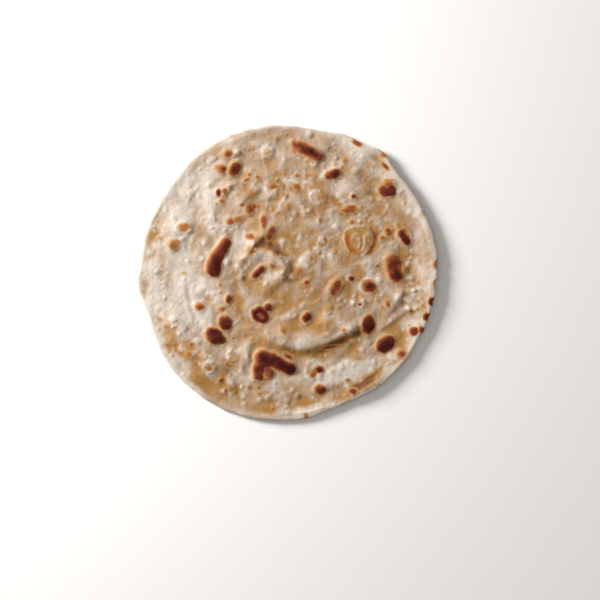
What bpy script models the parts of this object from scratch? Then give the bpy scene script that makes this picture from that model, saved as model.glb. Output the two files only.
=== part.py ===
"""Chapati: one round, thin, unleavened wholewheat flatbread, baked on a griddle.

The bread is a single solid. It lies flat in the middle, its rim is slightly out of round and curls up on
one side, and folds of the rolled dough and the larger steam blisters stand up on its top. The origin is
under the middle of the bread, +Z is up, and +X runs along its longest width.

Lengths are in millimetres up to the point where a vertex is placed, and MM turns them into metres there.
"""

import math

import bmesh
import bpy
from mathutils import Vector

MM = 0.001

# Driving dimensions of the sheet of dough
RADIUS = 97.5  # mean radius of the rim
THICKNESS = 2.4  # sheet of dough between its two faces
EDGE_WIDTH = 2.0  # stretch of the rim over which the two faces round off into each other
FLAT_RADIUS = 60.0  # the underside is level out to here, and this is what the bread rests on
FLAT_BLEND = 14.0  # width over which the underside leaves that level

# How fine the faces are
RINGS = 26  # rings of triangles from the middle of a face out to its edge
CREST_STEP = 1.5  # spacing of the samples along a fold's crest

# Where the rim leaves its mean circle: direction in degrees, how far out (+) or in (-), half-width in degrees
RIM_LOBES = [
    (12, 1.5, 20),
    (51.5, 4.0, 5),
    (66, 1.3, 6),
    (79, -1.3, 9),
    (112, 1.1, 14),
    (128, 0.7, 10),
    (148, -0.5, 13),
    (183, 2.1, 5.5),
    (199, -1.3, 8),
    (226, 1.8, 19),
    (248, 0.9, 12),
    (293, -3.5, 17),
    (328, -1.0, 18),
]

# Where the rim curls up: direction in degrees, rise at the rim, half-width in degrees, radius where it starts
RIM_CURLS = [
    (2, 4.6, 34, 83.0),
    (46, 3.4, 22, 77.0),
    (90, 1.3, 24, 78.0),
    (138, 0.8, 18, 80.0),
    (180, 0.5, 14, 84.0),
    (264, 1.4, 20, 84.0),
    (312, 3.0, 28, 80.0),
]

# Broad swells of the whole sheet: middle x, y, half-length, half-width, direction of the length, height
SWELLS = [
    (-64, -44, 38, 13, -54, 2.0),
    (-74, 26, 30, 11, 72, 0.7),
    (30, 74, 26, 12, -18, 0.8),
    (44, -64, 24, 10, 30, 0.9),
]

# Folds of the rolled dough: height, half-width of the steep side, half-width of the gentle side, and the
# crest. The steep side is on the right when the crest is walked from its first point to its last.
FOLDS = {
    "lower fold": (1.9, 4.2, 11.0, [(-13, -41), (6, -48), (16, -47.5), (25, -44), (43, -35.5), (52, -27)]),
    "centre swirl": (
        2.0,
        4.5,
        5.5,
        [(-27, 8), (-15, 15.5), (-6, 11), (0, 3), (-3, -3), (-12, -7), (-17, -13)],
    ),
    "fold outside the swirl": (1.1, 3.0, 4.0, [(-14, 31), (-17, 25), (-23, 18.5), (-28, 12), (-34, 4)]),
    "fold below the curled rim": (1.0, 3.2, 5.0, [(77, 1), (76, -9), (73, -16), (68, -23), (62, -30)]),
    "lower left fold": (1.0, 3.5, 4.0, [(-47, -57), (-42, -64), (-38, -71), (-33, -79)]),
}

# Larger steam blisters: middle x, y, half-length, half-width, direction of the length, height
BLISTERS = [
    (48, 21.5, 12.0, 11.0, 110, 2.3),
    (-46.5, 10, 14.5, 7.5, 62, 1.2),
    (-9, -58.5, 15.0, 8.5, -26, 1.8),
    (-17, -66, 7.5, 6.5, 0, 1.5),
    (11, 81, 14.0, 6.5, -30, 1.4),
    (70, 3.5, 11.0, 7.0, 103, 1.5),
    (53.5, -8, 7.5, 7.5, 0, 1.8),
    (66, 55, 7.0, 6.5, 0, 1.5),
    (77, 23, 7.0, 5.0, 120, 1.2),
    (64.5, -46, 9.0, 6.5, 38, 1.4),
    (53, -34, 8.0, 6.0, 78, 1.4),
    (31.5, -9, 8.5, 5.5, 58, 1.3),
    (-18, -27, 8.0, 6.0, -28, 1.5),
    (-44.5, -36.5, 11.0, 6.5, 48, 1.3),
    (17.5, -64, 7.0, 6.0, 30, 1.4),
    (21.5, -76, 6.0, 6.0, 0, 1.3),
    (-34, 69, 7.5, 6.0, 60, 1.1),
    (40, 42, 7.5, 5.0, 12, 1.2),
]

DOUGH_COLOUR = (0.72, 0.58, 0.42, 1.0)
DOUGH_ROUGHNESS = 0.75


def clear_scene():
    for item in list(bpy.data.objects):
        bpy.data.objects.remove(item, do_unlink=True)


def smooth_step(value):
    """0 below 0, 1 above 1 and a smooth rise between."""
    value = min(max(value, 0.0), 1.0)
    return value * value * (3.0 - 2.0 * value)


def angle_between(a, b):
    """Difference of two directions in degrees, from -180 to 180."""
    return (a - b + 180.0) % 360.0 - 180.0


def rim_radius(direction):
    lobes = (out * math.exp(-((angle_between(direction, at) / half) ** 2)) for at, out, half in RIM_LOBES)
    return RADIUS + sum(lobes)


def dome(x, y, middle_x, middle_y, half_length, half_width, turned):
    """A smooth mound of height 1 on an oval base, 0 outside it."""
    turn = math.radians(turned)
    along = (x - middle_x) * math.cos(turn) + (y - middle_y) * math.sin(turn)
    across = (y - middle_y) * math.cos(turn) - (x - middle_x) * math.sin(turn)
    inside = 1.0 - (along / half_length) ** 2 - (across / half_width) ** 2
    return smooth_step(inside)


def underside_height(x, y):
    """How far the sheet is off the surface that the bread lies on."""
    radius = math.hypot(x, y)
    direction = math.degrees(math.atan2(y, x))
    curls = 0.0
    for at, rise, half, start in RIM_CURLS:
        share = math.exp(-((angle_between(direction, at) / half) ** 2))
        outward = max(radius - start, 0.0) / (rim_radius(direction) - start)
        curls += rise * share * outward**1.5
    swells = sum(height * dome(x, y, *oval) for *oval, height in SWELLS)
    return (curls + swells) * smooth_step((radius - FLAT_RADIUS) / FLAT_BLEND)


def crest_samples(points):
    """Points every CREST_STEP or so along a smooth curve through the given points."""
    knots = [Vector(p) for p in points]
    knots = [2 * knots[0] - knots[1], *knots, 2 * knots[-1] - knots[-2]]
    samples = []
    for before, start, end, after in zip(knots, knots[1:], knots[2:], knots[3:]):
        count = max(2, round((end - start).length / CREST_STEP))
        for step in range(count):
            t = step / count
            samples.append(
                start
                + 0.5 * t * (end - before)
                + 0.5 * t**2 * (2 * before - 5 * start + 4 * end - after)
                + 0.5 * t**3 * (3 * start - 3 * end + after - before)
            )
    samples.append(knots[-2])
    return samples


def fold_height(place, crest, height, steep, gentle):
    """Height of one fold at a place: full along its crest, fading to both sides and at both ends."""
    nearest = min(range(len(crest)), key=lambda i: (crest[i] - place).length_squared)
    heading = crest[min(nearest + 1, len(crest) - 1)] - crest[max(nearest - 1, 0)]
    offset = place - crest[nearest]
    on_right = heading.x * offset.y - heading.y * offset.x < 0.0
    width = steep if on_right else gentle
    end_fade = smooth_step(6.0 * min(nearest, len(crest) - 1 - nearest) / len(crest))
    return height * end_fade * math.exp(-((offset.length / width) ** 2))


def relief(x, y, crests):
    """Everything that stands up on the top face: the folds and the blisters."""
    place = Vector((x, y))
    folds = sum(
        fold_height(place, crests[name], height, steep, gentle)
        for name, (height, steep, gentle, _) in FOLDS.items()
    )
    blisters = max(height * dome(x, y, *oval) for *oval, height in BLISTERS)
    return folds + blisters


def face_rings():
    """Rings of places (share of the way out, direction in degrees), with six more places in each ring."""
    rings = [[(0.0, 0.0)]]
    for ring in range(1, RINGS + 1):
        count = 6 * ring
        rings.append([(ring / RINGS, 360.0 * i / count) for i in range(count)])
    return rings


def fill_face(bm, rings, upward):
    """Triangles between rings of vertices made by face_rings."""
    for ring in range(1, len(rings)):
        inner, outer = rings[ring - 1], rings[ring]
        for sector in range(6):
            for i in range(ring):
                corner = outer[sector * ring + i]
                next_corner = outer[(sector * ring + i + 1) % len(outer)]
                root = inner[(sector * (ring - 1) + i) % len(inner)]
                triangles = [(root, corner, next_corner)]
                if i < ring - 1:
                    next_root = inner[(sector * (ring - 1) + i + 1) % len(inner)]
                    triangles.append((root, next_corner, next_root))
                for triangle in triangles:
                    bm.faces.new(triangle if upward else triangle[::-1])


def build_bread():
    bm = bmesh.new()
    crests = {name: crest_samples(fold[-1]) for name, fold in FOLDS.items()}

    rim = [(rim_radius(d), math.radians(d)) for _, d in face_rings()[-1]]
    rim_x = [radius * math.cos(turn) for radius, turn in rim]
    rim_y = [radius * math.sin(turn) for radius, turn in rim]
    middle = Vector(((min(rim_x) + max(rim_x)) / 2, (min(rim_y) + max(rim_y)) / 2, 0.0))

    def vertex(x, y, z):
        return bm.verts.new((Vector((x, y, z)) - middle) * MM)

    def place_on_face(share, direction):
        radius = share * (rim_radius(direction) - EDGE_WIDTH)
        turn = math.radians(direction)
        return radius * math.cos(turn), radius * math.sin(turn)

    top, underside = [], []
    for ring in face_rings():
        places = [place_on_face(*place) for place in ring]
        top.append([vertex(x, y, underside_height(x, y) + THICKNESS + relief(x, y, crests)) for x, y in places])
        underside.append([vertex(x, y, underside_height(x, y)) for x, y in places])
    fill_face(bm, top, upward=True)
    fill_face(bm, underside, upward=False)

    # The rounded edge: half of an oval, EDGE_WIDTH deep and THICKNESS high, from the top face down to the other
    bands = [top[-1]]
    for slope in (45.0, 0.0, -45.0):
        inset = EDGE_WIDTH * (1.0 - math.cos(math.radians(slope)))
        level = 0.5 * THICKNESS * (1.0 + math.sin(math.radians(slope)))
        band = []
        for radius, turn in rim:
            x, y = (radius - inset) * math.cos(turn), (radius - inset) * math.sin(turn)
            band.append(vertex(x, y, underside_height(x, y) + level))
        bands.append(band)
    bands.append(underside[-1])
    for upper, lower in zip(bands, bands[1:]):
        for i in range(len(upper)):
            after = (i + 1) % len(upper)
            bm.faces.new((upper[i], lower[i], lower[after]))
            bm.faces.new((upper[i], lower[after], upper[after]))

    mesh = bpy.data.meshes.new("chapati")
    bm.to_mesh(mesh)
    bm.free()
    mesh.shade_smooth()
    return mesh


def dough_material():
    material = bpy.data.materials.new("baked wholewheat dough")
    material.use_nodes = True
    shader = material.node_tree.nodes["Principled BSDF"]
    shader.inputs["Base Color"].default_value = DOUGH_COLOUR
    shader.inputs["Roughness"].default_value = DOUGH_ROUGHNESS
    shader.inputs["Metallic"].default_value = 0.0
    return material


clear_scene()
bread = bpy.data.objects.new("chapati", build_bread())
bread.data.materials.append(dough_material())
bpy.context.scene.collection.objects.link(bread)
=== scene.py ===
"""Looks of one chapati: a thin round of wholewheat dough, rolled out by hand and toasted on a griddle.

Lengths in the tables below are in millimetres and directions in degrees, as a baker would measure the bread
from its middle: +X to the right, +Y away, and up from the board. MM turns a length into metres.
"""

import math

import bpy
import numpy as np
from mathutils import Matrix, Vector, noise
from mathutils.bvhtree import BVHTree


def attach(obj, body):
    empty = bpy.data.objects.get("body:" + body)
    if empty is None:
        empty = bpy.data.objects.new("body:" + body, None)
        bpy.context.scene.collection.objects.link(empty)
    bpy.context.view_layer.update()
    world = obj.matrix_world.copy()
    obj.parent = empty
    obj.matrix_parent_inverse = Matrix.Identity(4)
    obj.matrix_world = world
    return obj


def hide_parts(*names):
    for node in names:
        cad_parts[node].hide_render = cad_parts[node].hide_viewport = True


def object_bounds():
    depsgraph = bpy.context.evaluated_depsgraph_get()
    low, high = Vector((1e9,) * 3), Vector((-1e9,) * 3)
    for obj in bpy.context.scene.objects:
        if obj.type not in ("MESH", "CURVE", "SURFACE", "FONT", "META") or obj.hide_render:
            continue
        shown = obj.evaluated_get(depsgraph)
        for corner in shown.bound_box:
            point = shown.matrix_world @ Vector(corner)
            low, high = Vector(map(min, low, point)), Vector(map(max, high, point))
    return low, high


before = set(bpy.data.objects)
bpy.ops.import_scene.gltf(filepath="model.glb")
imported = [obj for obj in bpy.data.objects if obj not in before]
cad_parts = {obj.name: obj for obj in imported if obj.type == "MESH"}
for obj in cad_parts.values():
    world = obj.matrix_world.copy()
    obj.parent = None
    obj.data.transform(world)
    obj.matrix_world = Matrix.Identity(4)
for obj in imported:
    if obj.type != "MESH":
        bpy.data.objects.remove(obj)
cad_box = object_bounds()

MM = 0.001

# ----------------------------------------------------------
# The rolled sheet. One ball of soft wholewheat dough is rolled into a thin round on a floured board, so its
# outline wavers a little, and as it bakes the rim dries first and curls up off the griddle. The outline and
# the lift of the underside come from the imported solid; the small unevenness of hand rolling is added to it.

SHEET_THICKNESS = 2.3
TOP_SPACING = 0.78  # between neighbouring points of the top face
UNDERSIDE_SPACING = 1.05
EDGE_WIDTH = 1.9  # stretch of the rim over which the two faces round off into each other
EDGE_SLOPES = (66, 44, 22, 0, -22, -44, -66)  # of the bands round the rim, degrees
READ_STEP = 2.0  # degrees between the readings taken round the solid
READ_ROWS = 34  # readings from the middle out to the rim
READ_REACH = 0.8 * READ_STEP  # how far to each side of its direction a reading of the rim looks
READ_INSET = 2.2  # the outermost readings of the underside are this far inside the rim
RIM_TREMBLE = ((7.0, 0.42), (2.4, 0.22))  # wavelength along the rim, how far in and out it strays
STRAY_POWER = 14  # tremble and nicks fade inward by this power of the share of the way out
LAYER_GAP = 7.31  # keeps the patterns of unevenness of neighbouring layers apart

# Nicks where the drying rim cracked: direction, depth, half-width in degrees
RIM_NICKS = [
    (3.4, 0.9, 1.0),
    (-4.2, 1.1, 1.3),
    (-11.0, 0.8, 0.8),
    (-17.5, 0.8, 0.9),
    (24, 0.5, 0.9),
    (302, 0.6, 1.2),
]

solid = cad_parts["chapati"].data
corners = np.array([v.co for v in solid.vertices]) / MM
corner_radius = np.hypot(corners[:, 0], corners[:, 1])
corner_direction = np.degrees(np.arctan2(corners[:, 1], corners[:, 0]))


def turned_from(direction, other):
    """Difference of two directions, from -180 to 180 degrees."""
    return (direction - other + 180.0) % 360.0 - 180.0


def smooth_step(value):
    """0 below 0, 1 above 1 and a smooth rise between."""
    value = np.clip(value, 0.0, 1.0)
    return value * value * (3.0 - 2.0 * value)


def fading(distance, width):
    """1 where the distance is 0, fading away on both sides over about the width."""
    return np.exp(-((distance / width) ** 2))


def wander(x, y, wavelength, layer):
    """Smooth unevenness between about -1 and 1. Each layer has its own pattern."""
    places = zip(x / wavelength, y / wavelength)
    return np.array([noise.noise((a, b, layer * LAYER_GAP)) for a, b in places])


def even_weights(share):
    """Weights of four neighbouring readings at a place between the middle two, with no corners."""
    return (
        (1 - share) ** 3 / 6,
        (3 * share**3 - 6 * share**2 + 4) / 6,
        (-3 * share**3 + 3 * share**2 + 3 * share + 1) / 6,
        share**3 / 6,
    )


def read_between(readings, row, direction):
    """A smooth value from a table of readings by row and by direction."""
    column = direction / READ_STEP
    first_row, first_column = np.floor(row).astype(int), np.floor(column).astype(int)
    column_weights = even_weights(column - first_column)
    total = 0.0
    for i, row_weight in enumerate(even_weights(row - first_row)):
        reading_row = readings[np.clip(first_row - 1 + i, 0, len(readings) - 1)]
        for j, column_weight in enumerate(column_weights):
            picked = (first_column - 1 + j) % readings.shape[1]
            reading = np.take_along_axis(reading_row, picked[:, None], 1)[:, 0]
            total = total + row_weight * column_weight * reading
    return total


read_directions = np.arange(0.0, 360.0, READ_STEP)
read_turns = np.radians(read_directions)
rim_readings = []
for direction in read_directions:
    beside = np.abs(turned_from(corner_direction, direction)) <= READ_REACH
    rim_readings.append(corner_radius[beside].max())
rim_readings = np.array([rim_readings])


def rim_radius(direction):
    """Outline of the solid, and how far the tremble and nicks of the real rim stray from it."""
    turn = np.radians(direction)
    smooth_rim = read_between(rim_readings, np.zeros_like(direction), direction)
    x, y = smooth_rim * np.cos(turn), smooth_rim * np.sin(turn)
    tremble = sum(size * wander(x, y, length, 40 + i) for i, (length, size) in enumerate(RIM_TREMBLE))
    nicks = sum(depth * fading(turned_from(direction, at), half) for at, depth, half in RIM_NICKS)
    return smooth_rim, tremble - nicks


solid_faces = [p.vertices[:] for p in solid.polygons]
solid_surface = BVHTree.FromPolygons([v.co for v in solid.vertices], solid_faces)


def solid_underside(x, y):
    """Height of the solid's underside, felt from a metre below it."""
    hit = solid_surface.ray_cast(Vector((x * MM, y * MM, -1.0)), Vector((0.0, 0.0, 1.0)))[0]
    return hit.z / MM


lift_readings = []
for row in range(READ_ROWS + 1):
    reach = (rim_readings[0] - READ_INSET) * row / READ_ROWS
    places = zip(reach * np.cos(read_turns), reach * np.sin(read_turns))
    lift_readings.append([solid_underside(x, y) for x, y in places])
for _ in range(2):  # two more rows carry the slope on past the rim
    lift_readings.append([2 * last - before for last, before in zip(lift_readings[-1], lift_readings[-2])])
lift_readings = np.array(lift_readings)


def face_points(spacing):
    """Points in rings over one face: the size of each ring, and for all points their x and y, the lift of
    the solid there, the share of the way out and the direction."""
    ring_count = round(corner_radius.max() / spacing)
    ring_sizes = [max(6, round(2 * math.pi * ring)) for ring in range(1, ring_count + 1)]
    ring_directions = [360.0 * (np.arange(size) + 0.5 * (size % 2)) / size for size in ring_sizes]
    direction = np.concatenate(ring_directions)
    share = np.repeat(np.arange(1, ring_count + 1) / ring_count, ring_sizes)
    smooth_rim, stray = rim_radius(direction)
    radius = share * (smooth_rim - EDGE_WIDTH) + stray * share**STRAY_POWER
    lift = read_between(lift_readings, share * READ_ROWS, direction)
    turn = np.radians(direction)
    x, y = radius * np.cos(turn), radius * np.sin(turn)
    return ring_sizes, x, y, np.maximum(lift, 0.0), share, direction


top_rings, top_x, top_y, top_lift, top_share, top_direction = face_points(TOP_SPACING)
under_rings, under_x, under_y, under_lift, under_share, _ = face_points(UNDERSIDE_SPACING)

# Hand rolling leaves the sheet a little thicker and thinner, and baking leaves it slightly leathery:
# wavelength and height of each kind of unevenness
UNEVENNESS = ((26.0, 0.60), (13.0, 0.75), (6.5, 0.46), (3.2, 0.17), (1.7, 0.07))
FINE_FROM = 2  # the layers from this one on count as fine

top_height = np.zeros_like(top_x)
fine_relief = np.zeros_like(top_x)
for layer, (wavelength, height) in enumerate(UNEVENNESS):
    rise = height * wander(top_x, top_y, wavelength, layer)
    top_height += rise
    if layer >= FINE_FROM:
        fine_relief += rise

# The rolling pin and the turning hand leave faint lines that run round the bread
ROLLED_LINES = ((5.2, 0.30, 2.6), (2.9, 0.14, 4.2))  # wavelength outward, height, how often they break off
ROLLED_X, ROLLED_Y = -4.0, 4.0  # the place that they run round
ROLLED_FROM = 8.0  # how far from it they begin
ROLLED_BLEND = 22.0  # width over which they reach their full height

rolled_x, rolled_y = top_x - ROLLED_X, top_y - ROLLED_Y
out_from_middle, turn_round = np.hypot(rolled_x, rolled_y), np.arctan2(rolled_y, rolled_x)
for wavelength, height, breaks in ROLLED_LINES:
    lines = [
        noise.noise((out / wavelength, breaks * math.cos(turn), breaks * math.sin(turn)))
        for out, turn in zip(out_from_middle, turn_round)
    ]
    rise = height * np.array(lines) * smooth_step((out_from_middle - ROLLED_FROM) / ROLLED_BLEND)
    top_height += rise
    fine_relief += rise

# How strongly each place of the top is toasted, golden with steam and fat, or floury. Gold and toast also
# carry painted shade, and flour carries painted highlight.
toast_and_shade = np.zeros_like(top_x)
gold_and_shade = np.zeros_like(top_x)
flour_and_highlight = np.zeros_like(top_x)

# ----------------------------------------------------------
# The folds. The soft sheet was turned and pressed while it baked, so pleats of dough stand up on its top in
# a loose spiral. Each has one steep side, on which gold and a little toast are painted as shade.

# Height, half-width of the steep side, half-width of the gentle side, how much gold and how much toast are
# painted on the steep side as shade, and the crest. Walked from the crest's first point to its last, the
# steep side is on the right.
FOLDS = {
    "lower fold": (2.7, 4.8, 11.0, 1.7, 0.0, [
        (-14, -41), (-6, -44), (6, -48), (16, -47.5), (25, -44), (43, -35.5), (52, -27),
    ]),
    "lower fold, left end": (0.7, 3.5, 4.0, 0.4, 0.0, [(-30, -32), (-23, -38), (-14, -41.5), (-5, -43)]),
    "centre swirl": (2.6, 5.2, 5.5, 1.45, 0.0, [
        (1.5, -6), (1, -2), (-2, 3), (-8, 9), (-16, 13.5), (-27, 7),
    ]),
    "end of the swirl": (1.3, 4.5, 4.5, 0.3, 0.0, [(-19, -15), (-12, -8), (-4, -4), (1, -1)]),
    "outside the swirl": (1.4, 2.8, 3.6, 1.1, 0.0, [
        (-34, 4), (-28, 12), (-22.5, 19), (-17, 25), (-14, 31),
    ]),
    "over the long blister": (0.9, 2.8, 3.0, 0.4, 0.05, [
        (-28, -63), (-26.5, -51), (-24, -45), (-17, -45.5), (-8, -48),
    ]),
    "lower left": (1.1, 3.6, 3.4, 0.7, 0.0, [(-46, -55), (-43, -62), (-39, -69), (-33, -79)]),
    "above the lower right rim": (0.9, 2.8, 4.0, 1.8, 0.0, [(63, -64), (56, -71), (48, -77), (38, -81.5)]),
    "straight crease": (0.55, 1.7, 2.6, 0.5, 0.12, [(57, -40), (62, -36), (68, -32), (76, -26), (82, -20)]),
    "below the curled rim": (1.1, 2.6, 4.5, 0.5, 0.08, [
        (61, -31), (68, -24), (73, -16), (76, -9), (77, 1), (80, 10),
    ]),
    "upper left arc": (1.1, 2.6, 3.6, 0.5, 0.05, [(-33, 43), (-29, 48.5), (-24, 52.5), (-17, 56.5)]),
    "upper left outer arc": (0.8, 2.4, 3.4, 0.35, 0.0, [(-44, 49), (-38, 57), (-31, 62)]),
    "upper arc": (0.9, 2.4, 3.2, 0.45, 0.04, [(-16, 49.5), (-8, 51), (1, 50.5)]),
    "upper right arc": (0.5, 2.2, 3.4, 0.4, 0.0, [(0, 51.5), (6, 49.5), (12, 45), (16, 38)]),
    "lower rim": (1.0, 3.6, 3.0, 0.6, 0.10, [(66, -66), (58, -75), (42, -84.5), (22, -90.5), (-4, -92.5)]),
    "curled right rim": (0.65, 3.0, 8.0, 0.0, 0.0, [
        (75, -59), (83, -46), (90, -32), (94, -16), (95, 0), (93.5, 18), (88, 35), (76, 57), (60, 74),
    ]),
    "left streak": (0.5, 1.6, 2.2, 0.2, 0.0, [(-69, -2), (-67, -18), (-61, -36)]),
    "second left streak": (0.45, 1.5, 2.0, 0.2, 0.0, [(-63, -6), (-61, -20), (-55, -32)]),
}
CREST_STEP = 0.8  # between neighbouring points of a crest
CREST_FLOUR = 0.09  # how much flour is painted on a crest as highlight, for each millimetre of its height
CREST_FLOUR_WIDTH = 0.5  # share of the fold's half-width that this flour takes
CREST_ROUNDING = 1.6  # how gradually the gentle side passes into the steep one
FOLD_REACH = 3  # half-widths of the gentle side over which a fold is felt
FOLD_ENDS = 5.0  # one part in this many of the crest, at each end, sinks to nothing
FOLD_WAVER_WIDTH, FOLD_WAVER_HEIGHT = 0.25, 0.2  # how unevenly wide and high a fold is
# Shares of the steep side's half-width by which the painted shade on it has begun, is deepest and fades
FOLD_SHADE_START, FOLD_SHADE_DEEPEST, FOLD_SHADE_FADE = 0.8, 0.9, 0.75
FOLD_SHADE_FLOUR_LOSS = 0.5  # how much flour the painted shade on the steep side takes away


def crest_line(points):
    """Places every CREST_STEP or so along a smooth curve through the given points."""
    knots = np.array(points, float)
    knots = np.vstack([2 * knots[0] - knots[1], knots, 2 * knots[-1] - knots[-2]])
    line = []
    for before, start, end, after in zip(knots, knots[1:], knots[2:], knots[3:]):
        count = max(2, round(np.linalg.norm(end - start) / CREST_STEP))
        t = (np.arange(count) / count)[:, None]
        bend = 2 * before - 5 * start + 4 * end - after
        twist = 3 * start - 3 * end + after - before
        line.append(start + 0.5 * t * (end - before) + 0.5 * t**2 * bend + 0.5 * t**3 * twist)
    line.append(knots[-2:-1])
    return np.vstack(line)


def raise_to(amounts, near, least):
    """Brings the amounts at the points near a place up to at least this much."""
    amounts[near] = np.maximum(amounts[near], least)


fold_waver = wander(top_x, top_y, 9.0, 11)
for height, steep, gentle, gold, brown, points in FOLDS.values():
    crest = crest_line(points)
    lowest, highest = crest.min(0) - FOLD_REACH * gentle, crest.max(0) + FOLD_REACH * gentle
    beside_x = (top_x > lowest[0]) & (top_x < highest[0])
    beside_y = (top_y > lowest[1]) & (top_y < highest[1])
    near = np.flatnonzero(beside_x & beside_y)
    offset = np.stack([top_x[near], top_y[near]], 1)[:, None] - crest
    distance = np.hypot(offset[..., 0], offset[..., 1])
    nearest = distance.argmin(1)
    picked = np.arange(len(near))
    offset, distance = offset[picked, nearest], distance[picked, nearest]
    heading = np.gradient(crest, axis=0)[nearest]
    leftward = heading[:, 0] * offset[:, 1] - heading[:, 1] * offset[:, 0]
    on_right = smooth_step(0.5 - leftward / CREST_ROUNDING)
    width = (gentle + (steep - gentle) * on_right) * (1.0 + FOLD_WAVER_WIDTH * fold_waver[near])
    end_fade = smooth_step(FOLD_ENDS * np.minimum(nearest, len(crest) - 1 - nearest) / len(crest))
    uneven_height = height * end_fade * (1 + FOLD_WAVER_HEIGHT * fold_waver[near])
    top_height[near] += uneven_height * fading(distance, width)
    # Painted shade: gold and toast laid along the steep side of the fold
    fold_shade = end_fade * on_right * smooth_step(distance / (FOLD_SHADE_START * steep))
    fold_shade *= fading(distance - FOLD_SHADE_DEEPEST * steep, FOLD_SHADE_FADE * steep)
    gold_and_shade[near] += gold * fold_shade
    raise_to(toast_and_shade, near, brown * fold_shade)
    # Painted highlight: flour along the crest of the fold
    flour_and_highlight[near] += CREST_FLOUR * height * end_fade * fading(distance, CREST_FLOUR_WIDTH * width)
    flour_and_highlight[near] -= FOLD_SHADE_FLOUR_LOSS * min(gold, 1.0) * fold_shade

# ----------------------------------------------------------
# The steam blisters and their toasted tops. Steam lifts the thin skin off the sheet in hundreds of bubbles,
# and the tops of the larger ones touch the hot iron and toast, from gold to nearly black. The skin round a
# toasted top stays pale, and some bubbles sink back in the middle and leave a pale ring.

# Toasted blisters that aren't plain ovals: how dark, how high, and their run of x, y and half-width
LONG_SPOTS = [
    (0.9, 1.3, [
        (-40.6, 20.6, 2.6), (-43, 16.6, 3.1), (-46.2, 11.6, 3.7), (-48.4, 6.4, 4.4), (-48.8, 2.4, 4.5),
    ]),
    (0.92, 1.4, [(-16.4, -55.6, 4.9), (-9.5, -57.4, 4.2), (-3.6, -60.4, 3.7), (0.6, -62.4, 4)]),
    (0.86, 1.1, [(-17.8, -60, 3.4), (-19.2, -63.6, 3.1), (-19.4, -67.2, 2.9)]),
    (0.66, 0.8, [(-14.2, -61.6, 2.6), (-12.8, -65.2, 3.2)]),
    (0.5, 0.4, [(-17.6, -70.2, 0.8), (-12.8, -69.6, 0.9), (-10.4, -66.6, 0.8)]),
    (0.64, 1.1, [(4.2, 85.4, 2.1), (9, 82.9, 3.5), (15.2, 79.4, 3.6), (20, 76.8, 2.7)]),
    (0.96, 0.2, [(7.4, 84.4, 1.5), (12.6, 81.2, 2.5), (18.4, 77.6, 1.8)]),
    (0.42, 0.1, [(3, 84, 1), (5, 79.6, 0.9)]),
    (0.96, 0.7, [(74.8, 26.3, 2), (76.4, 23.9, 1.9), (78.1, 21.7, 2.5)]),
    (0.92, 0.7, [
        (-21.8, -25.6, 1.7), (-18.4, -24, 2), (-15.4, -26.6, 1.8), (-14.4, -29.8, 1.8),
        (-17.4, -31, 1.4), (-21, -28.9, 1.4), (-22.4, -26.2, 1.3),
    ]),
]

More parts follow.
